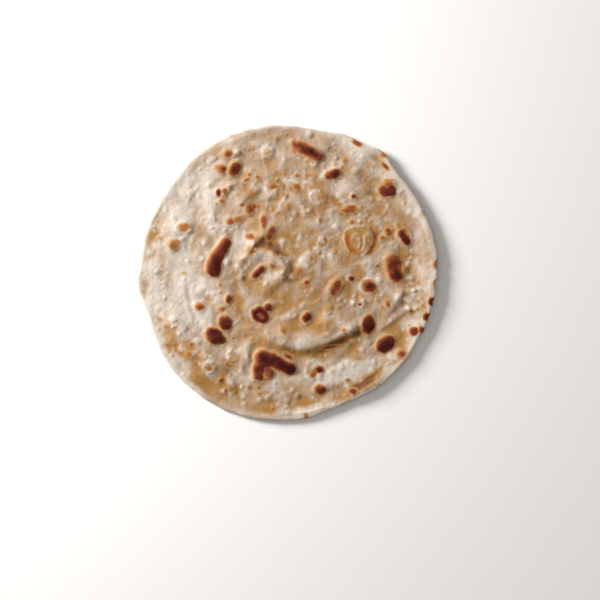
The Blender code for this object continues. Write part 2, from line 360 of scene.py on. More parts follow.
# Toasted spots: middle x and y, half-length, half-width, direction of the length, how dark (0.2 pale gold,
# 0.45 orange-brown, 0.7 brown, 1 nearly black), and the height of its blister
SPOTS = [
    # beside the largest one
    (-15, -63.4, 3.6, 2.4, 70, 0.52, 0.4),
    (0.5, -55, 2.8, 1.3, -30, 0.62, 0.2),
    (-1, -52, 1.4, 1.1, 0, 0.32, 0),
    (-17, -47.5, 2.6, 1.1, 0, 0.34, 0),
    # along the top
    (-34.8, 68.6, 4.6, 3.3, 62, 0.8, 0.9),
    (29.5, 65.3, 4.2, 2.6, 25, 0.88, 0.9),
    (-44, 69, 3.8, 2.9, 0, 0.5, 0.5),
    (-42.6, 68.7, 2, 1.6, 0, 0.72, 0),
    (-39, 79, 3.4, 2.7, 30, 0.5, 0.4),
    (-36.6, 83.4, 2.2, 1.1, 60, 0.28, 0),
    (-13, 80, 3, 2.4, 0, 0.24, 0.6),
    (24, 83.5, 2.6, 2.2, 0, 0.18, 0.2),
    (17, 73, 1, 1, 0, 0.3, 0.1),
    (6.5, 64.5, 1.6, 1.3, 0, 0.46, 0.3),
    (15, 64.5, 3.1, 1, 10, 0.38, 0.3),
    (-25, 65, 1.3, 1.1, 0, 0.48, 0.2),
    (-20, 63.5, 1.3, 1.2, 0, 0.48, 0.2),
    (-27, 61.5, 2.1, 1, 30, 0.52, 0.2),
    # the scattered ones at the upper left
    (-45.5, 53, 1.8, 1.2, 90, 0.78, 0.3),
    (-41.5, 54, 2, 1.4, 90, 0.54, 0.3),
    (-42.2, 50.6, 2, 0.8, 65, 0.42, 0.1),
    (-43, 47.5, 1.7, 1.4, 0, 0.55, 0.2),
    (-46.5, 45.5, 0.9, 0.8, 0, 0.4, 0.1),
    (-38, 34, 2.6, 2.4, 0, 0.49, 0.5),
    (-33, 35.5, 2.8, 2.3, 0, 0.46, 0.4),
    (-25.2, 42.6, 3.5, 2.4, 76, 0.62, 0.5),
    (-22.6, 44.4, 2, 1.6, 0, 0.55, 0.2),
    (-19.8, 44, 2.4, 1.6, 0, 0.34, 0.1),
    (-30, 45, 1.1, 1, 0, 0.44, 0.1),
    (-16, 34.3, 4.1, 1.9, 88, 0.64, 0.5),
    (-23, 33, 2.5, 2, 0, 0.26, 0.3),
    (-10.9, 27.2, 4.6, 2.2, 72, 0.62, 0.4),
    (-12.4, 23.6, 2, 1.5, 60, 0.74, 0.1),
    (-25, 24, 2.6, 2.3, 0, 0.52, 0.3),
    (-26, 28.5, 2.2, 0.9, 80, 0.32, 0.1),
    (-68.5, 30.3, 3.8, 2.9, 8, 0.43, 0.5),
    (-75.4, 18.8, 3.7, 3.4, 0, 0.42, 0.5),
    (-73.4, 20.9, 2.6, 1.5, 0, 0.4, 0.3),
    (-73.4, 15.6, 1.9, 1.3, -48, 0.36, 0.1),
    # round the middle of the top
    (-9, 57, 3.6, 1.6, 0, 0.46, 0.3),
    (5.6, 57, 2.3, 2, 0, 0.46, 0.3),
    (15, 57, 2.1, 1.9, 0, 0.34, 0.3),
    (21.6, 49.4, 2.8, 2.5, 0, 0.38, 0.3),
    (0.4, 44, 2.5, 1.5, 80, 0.44, 0.3),
    (14.5, 39, 2, 1.3, 0, 0.28, 0.2),
    (43.5, 50.5, 1.2, 1.1, 0, 0.74, 0.1),
    (51, 55, 2.4, 2.1, 0, 0.32, 0.4),
    (40.6, 41.6, 5.6, 1.9, 4, 0.52, 0.6),
    (42.2, 43.4, 3, 1.6, 0, 0.58, 0.3),
    (42.5, 33.5, 1.6, 1.4, 0, 0.48, 0.3),
    (25.4, 21.6, 2.2, 0.8, -60, 0.46, 0.1),
    (16, 9.5, 1.3, 1.2, 0, 0.5, 0.1),
    (7, 0.6, 3.4, 2.5, 62, 0.46, 0.6),
    (12.5, -6, 1.8, 1.7, 0, 0.5, 0.4),
    (-19.2, 0.8, 4.7, 2, 41, 0.88, 0.7),
    (-13, -22.5, 2.3, 2.2, 0, 0.9, 0.6),
    (-18.4, -27.6, 3, 2.2, -35, 0.5, 0.7),
    (12.5, -29.5, 3, 2.7, 80, 0.92, 0.8),
    (14.5, -21, 3, 0.9, 12, 0.38, 0.3),
    (26.5, -23.5, 2.1, 1.9, 0, 0.34, 0.4),
    (37, -37.4, 1.2, 1, 0, 0.44, 0.2),
    (38.2, -40, 1, 0.8, 0, 0.46, 0.1),
    (28, -48.6, 4.6, 0.8, 10, 0.62, 0),
    # the left and lower left
    (-58.3, -21.8, 3.1, 2.6, 10, 0.5, 0.6),
    (-58, -22.4, 1.6, 1.4, 0, 0.66, 0),
    (-44, -13, 1.3, 1.1, 0, 0.42, 0.2),
    (-44.5, -7.5, 0.8, 0.8, 0, 0.5, 0.1),
    (-58.5, -14, 1.6, 1.4, 0, 0.24, 0.3),
    (-68, 0, 1.6, 1.2, 0, 0.3, 0.2),
    (-38.8, -17.3, 2.6, 1.8, 92, 0.86, 0.6),
    (-43.5, -23.5, 2.1, 1.5, 0, 0.46, 0.3),
    (-41.4, -32.6, 4.5, 3.9, 100, 0.92, 1),
    (-48.6, -41, 5.9, 4.7, -36, 0.9, 1),
    (-43.8, -44.4, 3.4, 2.2, 20, 0.66, 0.3),
    (-78, -44.5, 2.6, 2, 0, 0.22, 0.2),
    (-65.5, -53, 3.2, 2.3, -62, 0.38, 0.4),
    (-51.5, -62.5, 2.1, 1.5, 0, 0.46, 0.2),
    (-39, -60.5, 2.3, 1.1, -30, 0.42, 0.2),
    (-34.2, -55.4, 2.1, 1.7, 0, 0.28, 0.2),
    # the right
    (65.2, 53.6, 4.4, 2.9, 0, 0.88, 0.7),
    (62.6, 54.6, 2.8, 2.9, 0, 0.84, 0.5),
    (67.7, 54.5, 3.3, 3.5, 0, 0.96, 0.7),
    (66, 58.6, 3.6, 2.4, 0, 0.46, 0.5),
    (66, 61, 3.2, 1.1, 0, 0.44, 0),
    (63.2, 77, 2.6, 0.9, -10, 0.48, 0.1),
    (64.2, 70.4, 2.6, 1, -48, 0.66, 0.2),
    (45.5, 85.2, 2.6, 1, -28, 0.52, 0.1),
    (89, 38.5, 2, 1.6, 0, 0.32, 0.2),
    (76.2, 28.4, 2.1, 1.3, 0, 0.44, 0.2),
    (66.4, 27.2, 2.8, 2.1, 108, 0.56, 0.5),
    (65.8, 28.2, 1.3, 1.1, 0, 0.78, 0),
    (62.4, 23.3, 1.5, 1.3, 0, 0.48, 0.2),
    (78, 14, 1, 1, 0, 0.4, 0.1),
    (69.8, 3.4, 9.4, 5.2, 104, 0.7, 1.3),
    (71.4, 0.4, 5, 2.8, 104, 1, 0),
    (77, 25, 6.4, 3.6, 112, 0.32, 0.9),
    (53.9, -8.8, 3.8, 3.5, 0, 0.9, 0.3),
    (42, -3.5, 1.6, 1.4, 0, 0.78, 0.3),
    (31.5, -9.2, 5.6, 3, 58, 0.64, 0.7),
    (30.3, -12, 2.8, 2, 58, 0.86, 0),
    (47.5, -20.5, 0.9, 0.8, 0, 0.76, 0),
    (65.8, -20, 1.8, 1.5, 90, 0.58, 0.3),
    (53, -33.8, 5.9, 3.6, 78, 1.04, 0.9),
    (64.2, -46.6, 6.2, 4.2, 38, 1.06, 1),
    (82.8, -38, 2.6, 2.5, 0, 0.9, 0.5),
    (87.6, -37, 1.6, 0.8, 85, 0.86, 0.1),
    (74.8, -53, 2.6, 2.2, 30, 0.64, 0.5),
    (81, -8.5, 1.6, 1.3, 0, 0.3, 0.2),
    (97, 6, 2.6, 1.2, 88, 0.5, 0),
    (97.2, -7, 2.6, 1.5, 85, 0.62, 0),
    (94, -18.5, 1.9, 1.2, 75, 0.82, 0.1),
    (90.6, -28.2, 2.1, 1.2, 72, 0.8, 0.1),
    # the lower edge
    (20.6, -63.4, 2.3, 2, 0, 0.9, 0.5),
    (17, -66, 2.7, 1.9, 60, 0.64, 0.3),
    (21.5, -76.4, 3.3, 2.9, 0, 0.92, 0.9),
    (30, -65, 2.1, 1.5, 0, 0.26, 0.3),
    (63, -58.5, 2, 1.4, 0, 0.3, 0.2),
    (44, -45, 1.1, 1, 0, 0.32, 0.2),
    (43, -77.4, 2.4, 1.6, 0, 0.78, 0.5),
    (40, -70.5, 1.6, 1, 0, 0.46, 0.2),
    (60, -74, 2.1, 1, 30, 0.52, 0),
    (12, -93, 1.3, 1, 0, 0.46, 0.1),
]

# Blisters that sank in the middle: x, y, radius, height of the ring, how golden the middle is
RINGS = [
    (24, 19.5, 5, 0.55, 0.35),
    (14, 9.5, 5.6, 0.45, 0.1),
    (28.5, 11, 2.6, 0.3, 0.1),
    (53.6, -8.4, 6.8, 0.8, 1.05),
    (43.5, 50.5, 3, 0.35, 0.3),
    (47.5, -20.5, 2.5, 0.3, 0.2),
    (23, -35, 3.7, 0.45, 0.6),
    (-51.8, -62, 5, 0.6, 0.3),
    (-39, -60, 3.2, 0.4, 0.4),
    (-36, -54.6, 5, 0.65, 0.1),
    (-40, -77.5, 3.2, 0.45, 0.05),
    (17.6, -63.8, 7.6, 0.75, 0.2),
    (-10, 57.2, 6.4, 0.5, 0.2),
    (4, 57, 5.2, 0.55, 0.2),
    (13, 57.2, 4.4, 0.45, 0.15),
    (19.2, 49.6, 5.8, 0.65, 0.15),
    (-2, 44.4, 4.6, 0.55, 0.2),
    (-13.4, 80, 5, 0.45, 0.1),
]


def oval_distance(x, y, middle_x, middle_y, half_length, half_width, turned):
    """1 on the outline of an oval, 0 in its middle."""
    turn = math.radians(turned)
    along = (x - middle_x) * math.cos(turn) + (y - middle_y) * math.sin(turn)
    across = (y - middle_y) * math.cos(turn) - (x - middle_x) * math.sin(turn)
    return np.hypot(along / half_length, across / half_width)


def within(x, y, middle_x, middle_y, reach):
    """Which points lie within reach of a place."""
    return np.flatnonzero((np.abs(x - middle_x) < reach) & (np.abs(y - middle_y) < reach))


SPOT_RAGGED = ((5.0, 0.8), (2.1, 0.5))  # wavelength and depth of the wavering outline of a toasted spot
SPOT_REACH = 7.0  # how far round its outline a spot is felt
SMALL_SPOT = 3.0  # half-width below which the margin, the halo and the lifted skin get narrower
SPOT_MARGIN = 2.4  # width over which plain crust turns orange-brown at the outline of a spot
MARGIN_OUTSIDE = 0.6  # share of this width that lies outside the outline
MARGIN_SHARE = 0.45  # of a spot's darkness, reached at its margin
SPOT_DEEPENING = 3.1  # width over which it darkens further inside
DEEPENING_OUTSIDE = 0.20  # share of this width that lies outside the outline
SHADED_SIDE_SHIFT = (0.27, -0.18)  # from a spot's middle to its darkest place, toward the lower right away from the lamp, for each mm of half-width: painted shade on the blister's shaded side
SPOT_HALO = 0.18  # faint browning round a dark spot
SPOT_SPREAD = 0.5  # how far the browning spreads past the outline given in the tables
SPOT_WAVER = 0.8  # how closely the browning follows the wavering outline
SKIN_ROUND_SPOT = 2.7  # how far its blister reaches out past a toasted spot
SKIN_WAVER = 0.3  # how closely the blister follows the wavering outline
SKIN_FLOUR = 0.45  # how floury the lifted skin round a toasted top is
LIFTED_HEIGHT = 0.6  # height from which its skin counts as lifted
BLISTER_RISE = 1.5  # of a toasted blister, for each millimetre of height given in the tables
BLISTER_SHOULDER = 0.6  # share of the rise that its steep side has
SHOULDER_WIDTH = 0.45  # share of the way in over which that side rises

ragged = sum(depth * wander(top_x, top_y, length, 20 + i) for i, (length, depth) in enumerate(SPOT_RAGGED))
uneven_browning = 0.93 + 0.62 * wander(top_x, top_y, 5.0, 22)
blister_height = np.zeros_like(top_x)


def toast_blister(near, beyond, half_width, dark, height):
    """Browns the points near one blister and lifts its skin. beyond(shift_x, shift_y) gives how far outside
    the blister's outline they are when that outline is shifted."""
    full_size = min(1.0, half_width / SMALL_SPOT)
    narrowed = 0.4 + 0.6 * full_size
    waver = SPOT_WAVER * ragged[near] * full_size
    plain_outward = beyond(0.0, 0.0)
    outward = plain_outward - SPOT_SPREAD + waver
    margin = smooth_step(MARGIN_OUTSIDE - outward / (SPOT_MARGIN * (0.5 + 0.5 * full_size)))
    # Painted shade: the darkest place is moved toward the side of the blister away from the lamp
    from_shaded_core = beyond(SHADED_SIDE_SHIFT[0] * half_width, SHADED_SIDE_SHIFT[1] * half_width) - SPOT_SPREAD + waver
    deepening = smooth_step(DEEPENING_OUTSIDE - from_shaded_core / (SPOT_DEEPENING * narrowed))
    browned = dark * (MARGIN_SHARE * margin + (1.0 - MARGIN_SHARE) * deepening * uneven_browning[near])
    halo = SPOT_HALO * math.sqrt(dark) * fading(np.maximum(outward, 0.0), 0.7 + 1.3 * full_size)
    raise_to(toast_and_shade, near, np.maximum(browned, halo))

    reach = SKIN_ROUND_SPOT * narrowed
    inward = (reach - plain_outward - SKIN_WAVER * ragged[near]) / (reach + half_width)
    inside = np.clip(inward, 0.0, 1.0)
    shoulder, crown = smooth_step(inside / SHOULDER_WIDTH), smooth_step(inside)
    rise = BLISTER_SHOULDER * shoulder + (1.0 - BLISTER_SHOULDER) * crown
    raise_to(blister_height, near, BLISTER_RISE * height * rise)
    lifted = min(1.0, height / LIFTED_HEIGHT)
    skin = smooth_step(4.0 * inside) * smooth_step((outward - 1.2 * full_size) / 1.2) * lifted
    raise_to(flour_and_highlight, near, SKIN_FLOUR * skin)


for dark, height, run in LONG_SPOTS:
    spine = crest_line(run)
    middle, widest = spine[:, :2].mean(0), spine[:, 2].max()
    reach = np.ptp(spine[:, :2], axis=0).max() / 2 + widest + SPOT_REACH
    near = within(top_x, top_y, middle[0], middle[1], reach)

    def beyond_spine(shift_x, shift_y):
        offset_x = top_x[near, None] - spine[:, 0] - shift_x
        offset_y = top_y[near, None] - spine[:, 1] - shift_y
        return (np.hypot(offset_x, offset_y) - spine[:, 2]).min(1)

    toast_blister(near, beyond_spine, widest, dark, height)

for x, y, half_length, half_width, turned, dark, height in SPOTS:
    near = within(top_x, top_y, x, y, half_length + SPOT_REACH)

    def beyond_oval(shift_x, shift_y):
        spot = (x + shift_x, y + shift_y, half_length, half_width, turned)
        return (oval_distance(top_x[near], top_y[near], *spot) - 1.0) * half_width

    toast_blister(near, beyond_oval, half_width, dark, height)

RING_CREST = 0.80  # share of its radius at which a ring stands highest, and inside which the skin sank
RING_REACH = 4.0  # how far outside its radius a ring is felt
RING_WAVER = 0.13  # how much a ring strays from round
RING_BROWNING = 0.26  # how toasted its middle is, for how golden it is

for x, y, radius, height, gold in RINGS:
    near = within(top_x, top_y, x, y, radius + RING_REACH)
    distance = np.hypot(top_x[near] - x, top_y[near] - y) * (1.0 + RING_WAVER * ragged[near])
    ring = fading(distance - RING_CREST * radius, 0.20 * radius + 0.25)
    inside = smooth_step((radius - distance) / (0.35 * radius))
    raise_to(blister_height, near, height * (0.25 * ring + 0.9 * inside))
    raise_to(flour_and_highlight, near, (0.05 + 0.35 * height) * ring + 0.25 * inside)
    sunk = smooth_step(RING_CREST * radius - distance)
    gold_and_shade[near] += gold * sunk
    raise_to(toast_and_shade, near, RING_BROWNING * gold * sunk)

# The broadest blister, at the right, puffed up and sank into a wide pale ring with two curved ridges in it
BROAD_X, BROAD_Y = 46.4, 21.2
BROAD_LENGTH, BROAD_WIDTH, BROAD_TURN = 11.4, 10.4, 112
BROAD_TAPER = 0.22  # how much narrower its lower end is
BROAD_LEAN = 0.10  # how far its upper end leans to the right
BROAD_WAVER = 0.05  # how much its outline strays from smooth
BROAD_HEIGHT = 1.5
BROAD_REACH = 18.0
# Curved ridges in it: middle of the curve from the blister's middle, radius, from, to, strength
BROAD_RIDGES = [
    (-6.2, -0.5, 10.6, -42, 34, 1.0),
    (-9.4, -1.0, 10.4, -30, 24, 0.7),
    (4.0, -2.0, 8.6, 118, 176, 0.5),
]
RIDGE_WIDTH = 0.8
RIDGE_ENDS = 14.0  # stretch of the curve over which a ridge rises at each end, degrees

near = within(top_x, top_y, BROAD_X, BROAD_Y, BROAD_REACH)
near_x, near_y = top_x[near] - BROAD_X, top_y[near] - BROAD_Y
tapered_x = near_x * (1.0 - BROAD_TAPER * near_y / BROAD_LENGTH) - BROAD_LEAN * near_y
distance = oval_distance(tapered_x, near_y, 0, 0, BROAD_LENGTH, BROAD_WIDTH, BROAD_TURN)
distance += BROAD_WAVER * ragged[near]
side = np.degrees(np.arctan2(near_y, near_x))


def toward(direction, spread):
    """1 on the side of the broad blister that faces a direction, fading away from it."""
    return smooth_step(1.5 - np.abs(turned_from(side, direction)) / spread)


# Distances here are shares of the way to its outline. The ring stands highest at the lower right.
ring = fading(distance - 0.93, 0.055) * (0.25 + 0.75 * toward(-30, 60))
inside = smooth_step((1.06 - distance) / 0.32)
ridges = np.zeros(len(near))
for ridge_x, ridge_y, radius, start, end, strength in BROAD_RIDGES:
    offset_x, offset_y = near_x - ridge_x, near_y - ridge_y
    bearing = np.degrees(np.arctan2(offset_y, offset_x))
    rising = smooth_step((bearing - start) / RIDGE_ENDS)
    falling = smooth_step((end - bearing) / RIDGE_ENDS)
    away = np.hypot(offset_x, offset_y) - radius + 0.5 * ragged[near]
    ridges = np.maximum(ridges, strength * (rising * falling) * fading(away, RIDGE_WIDTH))
ridges *= smooth_step((0.9 - distance) / 0.15)
raise_to(blister_height, near, BROAD_HEIGHT * (0.55 * inside + 0.22 * ring + 0.26 * ridges))
raise_to(flour_and_highlight, near, 0.9 * np.maximum(0.8 * ring, ridges))

# Its sunken middle is golden, and browner at the lower left and in a crescent inside the left of the ring
sunk = smooth_step((0.88 - distance) / 0.10)
lower_left = smooth_step(0.55 - (near_x * 0.75 + near_y * 0.55) / 11.0)
gold_and_shade[near] += sunk * (1.0 + 0.6 * lower_left) * (1.0 - 0.6 * ridges)
crescent = fading(distance - 0.70, 0.15) * toward(200, 70)
raise_to(toast_and_shade, near, sunk * (0.13 + 0.17 * lower_left + 0.16 * crescent) * (1.0 - ridges))

# Round it the crust is faintly browned and golden at the upper left; the darker band at the right is painted
# shade of the blister's shaded side
raise_to(toast_and_shade, near, fading(distance - 0.99, 0.13) * (0.10 + 0.22 * toward(205, 60)))
shaded_outer_band = smooth_step(1.7 - np.abs(distance - 1.10) / 0.13) * toward(-12, 50)
raise_to(toast_and_shade, near, 0.44 * shaded_outer_band)
gold_and_shade[near] += 0.9 * shaded_outer_band + 0.8 * fading(distance - 1.08, 0.12) * toward(140, 30)

# Bubbles too small to toast. Each patch has a middle x and y, half-length, half-width, direction of the
# length, how many bubbles, their radius from and to, and their height for each millimetre of radius
BUBBLE_PATCHES = [
    (0, 0, 93, 93, 0, 300, 1.6, 3.8, 0.2),
    (0, 0, 93, 93, 0, 900, 0.8, 1.8, 0.19),
    (83, -16, 11, 8, 75, 24, 1.8, 3.2, 0.26),
    (43, -19, 10, 6, 0, 12, 1.6, 2.6, 0.24),
    (25, 74, 12, 8, 0, 10, 1.5, 2.6, 0.22),
    (55, 38, 20, 14, 0, 26, 1.4, 2.6, 0.24),
    (22, 42, 18, 10, 0, 14, 1.4, 2.6, 0.22),
    (-20, -78, 30, 9, -10, 18, 1.5, 3, 0.22),
    (32, -83, 20, 5, 10, 14, 1.4, 2.6, 0.26),
    (-66, -52, 14, 22, 40, 18, 1.4, 2.6, 0.24),
]
BUBBLE_GOLD = 1.1  # the most golden that the top of such a bubble gets
SMALL_COMMONER = 2.0  # above 1, more of a patch's bubbles are small than large
BUBBLE_ROUNDING = 1.25  # how full the side of a bubble is
FLATTENED_TOAST = 0.3  # from this much toast on, no bubble stands

scatter = np.random.default_rng(486)
for *patch, count, smallest, largest, steepness in BUBBLE_PATCHES:
    middle_x, middle_y, half_length, half_width, turned = patch
    turned = math.radians(turned)
    for spread, turn, size, gold in scatter.random((count, 4)):
        spread, turn = math.sqrt(spread), 2 * math.pi * turn
        size = smallest + (largest - smallest) * size**SMALL_COMMONER
        along, across = spread * half_length * math.cos(turn), spread * half_width * math.sin(turn)
        x = middle_x + along * math.cos(turned) - across * math.sin(turned)
        y = middle_y + along * math.sin(turned) + across * math.cos(turned)
        near = within(top_x, top_y, x, y, size)
        distance = np.hypot(top_x[near] - x, top_y[near] - y) / size
        standing = 1.0 - smooth_step(toast_and_shade[near] / FLATTENED_TOAST)
        rise = smooth_step(BUBBLE_ROUNDING * (1.0 - distance)) * standing
        gold = smooth_step(gold * 3.0 - 1.5)  # half of them stay pale and a sixth get fully golden
        top_height[near] += steepness * size * rise
        # Pale bubbles count in the fine relief, so they take the painted highlight on humps added below
        fine_relief[near] += steepness * size * rise * (1.0 - gold)
        gold_and_shade[near] += BUBBLE_GOLD * gold * smooth_step(1.0 - distance / 0.75)

top_height += blister_height

# ----------------------------------------------------------
# The colour of the baked crust. Thin dough turns golden and glassy where steam and fat reached the skin,
# and stays chalky cream where the dusting flour dried on it. Some of the gold below is painted shade, and
# some of the flour is painted light.

# Golden stretches: middle x and y, half-length, half-width, direction of the length, how golden. Those at
# (38, -55), (53, -70), (54, -70), (74, -50), (88, -14), (-4, 15), (-88, 22) and (-90, 24) are painted shade
# in troughs, below folds and inside the rims.
GOLDEN_AND_SHADED_STRETCHES = [
    (26, 4, 44, 30, 12, 0.42),
    (8, 14, 13, 7, -24, 0.42),
    (2, -22, 9, 16, 8, 0.62),
    (22, -22, 22, 14, 0, 0.18),
    (-54, -66, 26, 13, -50, 0.62),
    (-62, -56, 14, 8, -60, 0.45),
    (-82, 8, 10, 5, 85, 0.4),
    (-88, 22, 16, 3, 75, 0.45),
    (-80, -42, 24, 6, -62, 0.35),
    (18, -35, 13, 4, 3, 0.9),
    (38, -55, 10, 3, -8, 0.45),
    (50, 71, 11, 8, 0, 0.45),
    (56, 24, 4, 9, 0, 0.3),
    (30, -82, 22, 4, 12, 0.4),
    (54, -70, 14, 3.4, 35, 1),
    (-12, -90, 16, 5, 4, 0.3),
    (-16, 32, 12, 20, 0, 0.22),
    (20, 52, 36, 13, -8, 0.4),
    (62, 40, 20, 16, 0, 0.45),
    (-24, -8, 10, 12, 0, 0.4),
    (-10, 4, 5, 6, 0, 0.6),
    (-38, 4, 4, 8, 66, 0.15),
    (-34, -20, 5, 7, 0, 0.45),
    (-24, 52, 18, 8, 35, 0.3),
    (72, -4, 18, 11, 90, 0.2),
    (70, -32, 8, 5, 40, 0.45),
    (53, -70, 12, 6, 35, 0.8),
    (-30, -76, 26, 10, -20, 0.35),
    (46, -48, 14, 6, 30, 0.35),
    (-4, 15, 5, 9, 40, 0.6),
    (74, -50, 13, 12, 0, 1.15),
    (51, -12, 14, 10, 0, 0.65),
    (-90, 24, 5, 18, 12, 0.5),
    (88, -14, 9, 22, 0, 0.6),
    (54, 8, 11, 8, 0, 0.35),
]

# Chalky stretches, given in the same way. Those at (-66, -12), (-76, 4), (-60, 52) and (-88, -18) on the
# left, and at (86, 42), (83, 16) and (84, -34) along the right rim, are partly flour and partly painted
# light, brighter toward the lamp.
FLOURY_AND_LIT_STRETCHES = [
    (-66, -12, 12, 34, 8, 0.75),
    (-76, 4, 24, 70, 6, 0.4),
    (-60, 52, 24, 16, 40, 0.8),
    (-88, -18, 5, 30, 8, 0.55),
    (38, -65, 17, 6.5, 18, 1.3),
    (80, -35, 6, 6, 0, 0.7),
    (26, -70, 12, 7, 20, 0.6),
    (40, 84, 12, 6, -20, 0.6),
    (58, 72, 14, 5, -45, 0.25),
    (86, 42, 12, 5, 125, 0.6),
    (83, 16, 8, 14, 0, 0.28),
    (84, -34, 6, 5, 70, 0.25),
    (12, -90, 26, 3, 2, 0.4),
    (-70, -66, 26, 5, -52, 0.35),
    (60, -12, 12, 14, 0, 0.3),
    (30, 34, 12, 10, 0, 0.3),
    (-30, -70, 12, 9, 0, 0.35),
    (-46, 32, 18, 12, 0, 0.5),
    (-31, 16, 12, 10, 45, 0.75),
    (-20, 84, 26, 5, 12, 0.35),
    (34, 64, 12, 14, 0, 0.45),
    (2, 8, 38, 14, 0, 0.24),
    (-51, -10, 9, 10, 0, 0.4),
    (-88, -12, 6, 14, 0, 0.3),
    (10, -89, 14, 5, 0, 0.5),
    (-8, -72, 12, 9, 0, 0.35),
    (-36, -46, 10, 12, 0, 0.35),
]
GREASED_SMOOTHER = 0.45  # share of the fine unevenness that steam stretched out of the golden skin
CAKED_SMOOTHER = 0.7  # the same where the flour caked into a level crust


def add_stretches(amounts, stretches):
    """Adds each stretch, whole in its middle and gone at one and a half times its size."""
    waver = 0.30 * wander(top_x, top_y, 11.0, 31) + 0.20 * wander(top_x, top_y, 4.5, 32)
    for *oval, strength in stretches:
        amounts += strength * smooth_step((1.5 - oval_distance(top_x, top_y, *oval) + waver) / 1.3)


greased_and_shaded = np.zeros_like(top_x)
add_stretches(greased_and_shaded, GOLDEN_AND_SHADED_STRETCHES)
gold_and_shade += greased_and_shaded
top_height -= GREASED_SMOOTHER * np.clip(greased_and_shaded, 0.0, 1.0) * fine_relief
add_stretches(flour_and_highlight, FLOURY_AND_LIT_STRETCHES)
top_height -= CAKED_SMOOTHER * np.clip(flour_and_highlight - 0.5, 0.0, 1.0) * fine_relief

# Gold and flour come in loose patches all over; on top of these, flour on the small humps is painted
# highlight and gold in the dips is painted shade
gold_and_shade += 0.14 + 0.42 * wander(top_x, top_y, 14.0, 33) + 0.25 * wander(top_x, top_y, 5.5, 36)
# Painted shade: gold added in the dips of the fine relief
gold_and_shade -= (0.7 + 0.9 * np.maximum(gold_and_shade, 0.0)) * fine_relief
# Painted highlight: flour added on the small humps, and painted light where the sheet is lifted, as on the
# curled rim
flour_and_highlight += 0.08 + 0.42 * wander(top_x, top_y, 9.0, 34) + 0.60 * fine_relief + 0.10 * top_lift
flour_and_highlight -= 0.40 * smooth_step((gold_and_shade - 0.2) / 2.0)  # less flour where the gold, with its painted shade, is strong

# The thin rim dries pale, and browns a little here and there along its very edge
DRY_FROM, DRY_WIDTH = 0.955, 0.045  # shares of the way out
BROWN_FROM, BROWN_WIDTH = 0.98, 0.02

rim_dry = smooth_step((top_share - DRY_FROM) / DRY_WIDTH)
gold_and_shade -= 0.5 * rim_dry
flour_and_highlight += 0.4 * rim_dry
rim_brown = smooth_step((top_share - BROWN_FROM) / BROWN_WIDTH)
toast_and_shade = np.maximum(toast_and_shade, rim_brown * (0.11 * wander(top_x, top_y, 8.0, 35)))

# ----------------------------------------------------------
# The underside. It lay on the iron first, so it is flatter and browned in broader, softer patches, with
# shallow dents where steam held the dough off the metal. Nothing of it reaches below the board.

UNDER_SPOTS = 130
UNDER_SPOTS_REACH = 90.0  # from the middle of the bread
UNDER_SPOT_RADIUS = (1.2, 7.5)
UNDER_SMALL_COMMONER = 2.2  # above 1, more of the patches are small than large
UNDER_SPOT_LONGER = 1.35  # how much longer than wide a patch is
UNDER_MARGIN = 2.6  # width over which a patch fades into plain crust
UNDER_DENT = 0.35

under_toast = np.zeros_like(under_x)
under_waver = 0.8 * wander(under_x, under_y, 5.0, 51) + 0.5 * wander(under_x, under_y, 2.2, 52)
for _ in range(UNDER_SPOTS):
    spread = UNDER_SPOTS_REACH * math.sqrt(scatter.random())
    turn = scatter.random() * 2 * math.pi
    smallest, largest = UNDER_SPOT_RADIUS
    size = smallest + (largest - smallest) * scatter.random() ** UNDER_SMALL_COMMONER
    dark = 0.25 + 0.6 * scatter.random()
    x, y = spread * math.cos(turn), spread * math.sin(turn)
    near = within(under_x, under_y, x, y, 1.6 * size + 3.0)
    patch = (x, y, UNDER_SPOT_LONGER * size, size, math.degrees(turn * 3))
    outward = (oval_distance(under_x[near], under_y[near], *patch) - 1.0) * size + under_waver[near]
    raise_to(under_toast, near, dark * smooth_step(0.5 - outward / UNDER_MARGIN))
under_golden = 0.45 + 0.35 * wander(under_x, under_y, 16.0, 53)
under_floury = 0.05 + 0.40 * wander(under_x, under_y, 9.0, 54)
under_dents = wander(under_x, under_y, 7.0, 55) + 0.3 * wander(under_x, under_y, 3.0, 56)
under_relief = UNDER_DENT * np.maximum(under_dents, 0.0)
under_relief *= (1.0 - smooth_step(under_toast / 0.4)) * smooth_step((1.0 - under_share) / 0.04)

# ----------------------------------------------------------
# The bread. Both faces of the sheet and its rounded rim close into one skin of baked crust, which keeps how
# toasted, golden and floury each place is, painted shade and highlight included. Nothing is fixed to it, and
# it lies loose on the table.


def add_ring_faces(faces, inner, outer):
    """Triangles between two rings of point numbers, each going round from the same direction."""
    i = j = 0
    while i < len(inner) or j < len(outer):
        here, there = inner[i % len(inner)], outer[j % len(outer)]
        if j < len(outer) and (i == len(inner) or (j + 1) * len(inner) <= (i + 1) * len(outer)):
            faces.append((here, there, outer[(j + 1) % len(outer)]))
            j += 1
        else:
            faces.append((here, there, inner[(i + 1) % len(inner)]))
            i += 1


def add_face_rings(faces, ring_sizes, start, middle):
    """Closes one face: a fan round its middle point, then ring after ring. Returns the outermost ring."""
    inner = list(range(start, start + ring_sizes[0]))
    for here, after in zip(inner, inner[1:] + inner[:1]):
        faces.append((middle, here, after))
    start += ring_sizes[0]
    for size in ring_sizes[1:]:
        outer = list(range(start, start + size))
        add_ring_faces(faces, inner, outer)
        inner = outer
        start += size
    return inner


DEEPEST_DIP = -0.9  # of the top face below the plain sheet
RIM_RELIEF = 0.35  # share of the relief that is left at the very rim
RIM_GOLD, RIM_FLOUR = 0.45, 0.1  # the most golden that the rounded edge is, and its extra flour

